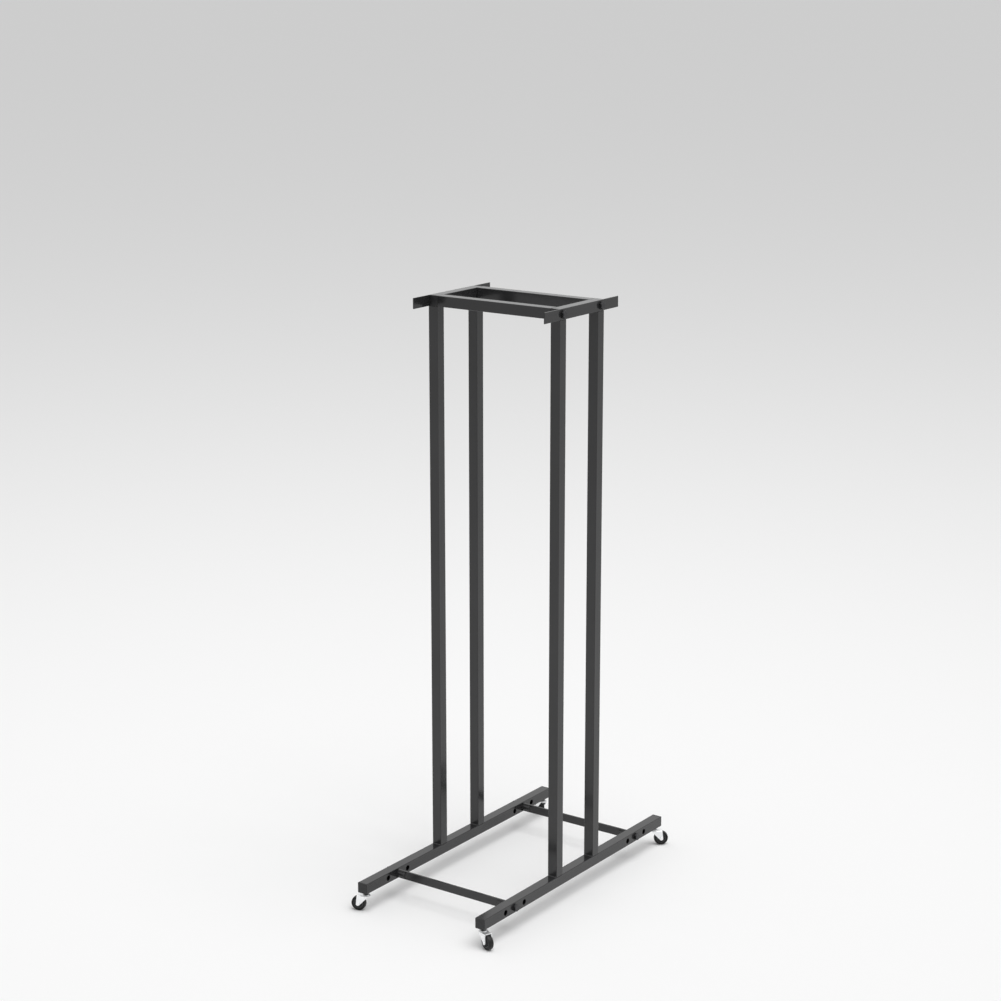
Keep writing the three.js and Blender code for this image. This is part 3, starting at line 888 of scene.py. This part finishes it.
def caster_tyre(corner, swivel, trail, axle_height):
    """A rubber tyre with a crowned tread, a parting line and a groove in each wall."""
    node = f"caster_tyre_{corner}"
    outer = axle_height
    inner = outer - TYRE_DEPTH
    half = WHEEL_WIDTH / 2
    groove = inner + GROOVE_START
    groove_floor = groove + GROOVE_SLOPE
    floor_end = groove_floor + GROOVE_FLOOR
    shoulder = (outer - SHOULDER_DROP - SHOULDER_RADIUS, half - SHOULDER_RADIUS)
    one = [(inner, half - TYRE_LIP_DEPTH), (inner + TYRE_LIP_WIDTH, half), (groove, half)]
    one += [(groove_floor, half - GROOVE_DEPTH), (floor_end, half - GROOVE_DEPTH)]
    one += [(floor_end + GROOVE_SLOPE, half)]
    one += arc(shoulder, SHOULDER_RADIUS, 90, SHOULDER_END_ANGLE, SHOULDER_STEPS)
    one += [(outer - TREAD_EDGE_DROP, shoulder[1] - TREAD_EDGE_INSET), (outer - TREAD_DROP, TREAD_HALF)]
    one += [(outer - SEAM_FOOT_DROP, SEAM_FOOT_HALF), (outer, SEAM_HALF)]
    other = [(radius, -place) for radius, place in one]
    tyre = lathe(f"{node}_rubber", other + list(reversed(one)), 96, "Y")
    for polygon in tyre.data.polygons:
        polygon.use_smooth = True
    tyre.data.set_sharp_from_angle(angle=math.radians(50))
    moved(tyre, trail, 0, axle_height)
    tyre.data.transform(swivel)
    dress(tyre, tyre_rubber, "tyre_rubber", f"wheel_{corner}", node)


def caster(corner):
    mounting, swivel, trail, axle_height = caster_places(corner)
    caster_stem(corner, mounting)
    caster_bearing(corner, mounting)
    caster_fork(corner, swivel, trail, axle_height)
    caster_axle(corner, swivel, trail, axle_height)
    caster_hub(corner, swivel, trail, axle_height)
    caster_tyre(corner, swivel, trail, axle_height)


for side_name in SIDES:
    base_rail(side_name)
    top_rail(side_name)
for end_name in ENDS:
    top_bar(end_name)
    base_bar(end_name)
for corner_name in CORNERS:
    end_name, side_name = corner_name.split("_")
    upright(corner_name)
    upright_welds(corner_name)
    base_bush(corner_name)
    bush_welds(corner_name)
    end_cap(f"base_cap_{corner_name}", end_name)
    end_cap(f"top_cap_{corner_name}", end_name)
    bolt(f"base_bolt_{corner_name}", side_name)
    bolt(f"top_bolt_{corner_name}", side_name)
    caster(corner_name)
    insert = frame["nodes"][f"top_insert_{corner_name}"]
    insert.data.materials.clear()
    insert.data.materials.append(turned_steel)


# Stage: a pale floor with a painted pool of light that greys with distance, a plain sky, a soft sun and
# the photograph's view

FLOOR_HALF = 120.0
FLOOR_FAR_TONE = 0.605
FLOOR_PAINTED_POOL_GAIN = 0.355  # painted light added over the far tone, brightest at the origin, half of it gone at FLOOR_FADE metres
FLOOR_FADE = 5.3
FLOOR_FADE_POWER = 2.1
SKY_FOOT_TONE = 0.62
SKY_TOP_TONE = 0.9
SKY_RISE = 0.2
SKY_LIGHT = 0.5  # what the sky gives the object, whatever is seen of it
SUN_STRENGTH = 1.66
SUN_SPREAD = 50
SUN_AZIMUTH = -5
SUN_ELEVATION = 74
VIEW_PLACE = (2.9107, -4.1443, 2.1895)
VIEW_TILT = 76.264
VIEW_TURN = 35.409
VIEW_SENSOR = 36.0
VIEW_LENS = 81.47
VIEW_SHIFT = (-0.0025, -0.0095)
VIEW_REACH = 400


def value_node(owner, operation, first, second):
    """A Math node of a material or world, with sockets that take a number or a link."""
    nodes, links = owner.node_tree.nodes, owner.node_tree.links
    node = nodes.new("ShaderNodeMath")
    node.operation = operation
    for socket, value in zip(node.inputs, (first, second)):
        if isinstance(value, float):
            socket.default_value = value
        else:
            links.new(value, socket)
    return node.outputs[0]


def make_floor_material():
    material, shader = start_material("floor", (0.9, 0.9, 0.9), 1.0)
    shader.inputs["Specular IOR Level"].default_value = 0.0
    nodes, links = material.node_tree.nodes, material.node_tree.links
    place = nodes.new("ShaderNodeNewGeometry")
    length = nodes.new("ShaderNodeVectorMath")
    length.operation = "LENGTH"
    links.new(place.outputs["Position"], length.inputs[0])
    # The floor's tone is a painted pool of light: brightest at the origin and greying with distance from
    # it.
    scaled = value_node(material, "DIVIDE", length.outputs["Value"], FLOOR_FADE)
    risen = value_node(material, "ADD", value_node(material, "POWER", scaled, FLOOR_FADE_POWER), 1.0)
    painted_pool = value_node(material, "DIVIDE", FLOOR_PAINTED_POOL_GAIN, risen)
    tone = value_node(material, "ADD", painted_pool, FLOOR_FAR_TONE)
    grey = nodes.new("ShaderNodeCombineColor")
    for channel in ("Red", "Green", "Blue"):
        links.new(tone, grey.inputs[channel])
    links.new(grey.outputs["Color"], shader.inputs["Base Color"])
    return material


def make_sky():
    """The sky that is seen, also in reflections, rises from the floor's far tone to nearly white."""
    world = bpy.data.worlds.new("sky")
    world.use_nodes = True
    nodes, links = world.node_tree.nodes, world.node_tree.links
    background = nodes["Background"]
    background.inputs["Color"].default_value = (1, 1, 1, 1)
    path = nodes.new("ShaderNodeLightPath")
    seen = value_node(world, "MAXIMUM", path.outputs["Is Camera Ray"], path.outputs["Is Glossy Ray"])
    seen = value_node(world, "MAXIMUM", seen, path.outputs["Is Transmission Ray"])
    direction = nodes.new("ShaderNodeTexCoord")
    height = nodes.new("ShaderNodeSeparateXYZ")
    links.new(direction.outputs["Generated"], height.inputs["Vector"])
    tone = nodes.new("ShaderNodeMapRange")
    tone.inputs["From Max"].default_value = SKY_RISE
    tone.inputs["To Min"].default_value = SKY_FOOT_TONE
    tone.inputs["To Max"].default_value = SKY_TOP_TONE
    links.new(height.outputs["Z"], tone.inputs["Value"])
    above = value_node(world, "SUBTRACT", tone.outputs["Result"], SKY_LIGHT)
    more = value_node(world, "MULTIPLY", seen, above)
    links.new(value_node(world, "ADD", more, SKY_LIGHT), background.inputs["Strength"])
    bpy.context.scene.world = world


def make_floor():
    half = FLOOR_HALF
    corners = [(-half, -half, 0), (half, -half, 0), (half, half, 0), (-half, half, 0)]
    floor = add_object("floor", corners, [(0, 1, 2, 3)])
    floor.data.materials.append(make_floor_material())


def add_sun():
    """A soft sun. Its azimuth counts from +X towards +Y."""
    data = bpy.data.lights.new("key", "SUN")
    data.energy = SUN_STRENGTH
    data.angle = math.radians(SUN_SPREAD)
    sun = bpy.data.objects.new("key", data)
    bpy.context.scene.collection.objects.link(sun)
    a, e = math.radians(SUN_AZIMUTH), math.radians(SUN_ELEVATION)
    towards = Vector((math.cos(a) * math.cos(e), math.sin(a) * math.cos(e), math.sin(e)))
    sun.rotation_euler = towards.to_track_quat("Z", "Y").to_euler()


def add_camera():
    """The photograph's view: solved from the frame's corners."""
    data = bpy.data.cameras.new("view")
    data.sensor_width = VIEW_SENSOR
    data.lens = VIEW_LENS
    data.shift_x, data.shift_y = VIEW_SHIFT
    data.clip_end = VIEW_REACH
    camera = bpy.data.objects.new("view", data)
    bpy.context.scene.collection.objects.link(camera)
    camera.location = VIEW_PLACE
    camera.rotation_euler = (math.radians(VIEW_TILT), 0, math.radians(VIEW_TURN))
    bpy.context.scene.camera = camera


make_floor()
make_sky()
add_sun()
add_camera()
bpy.context.scene.view_settings.view_transform = "Standard"
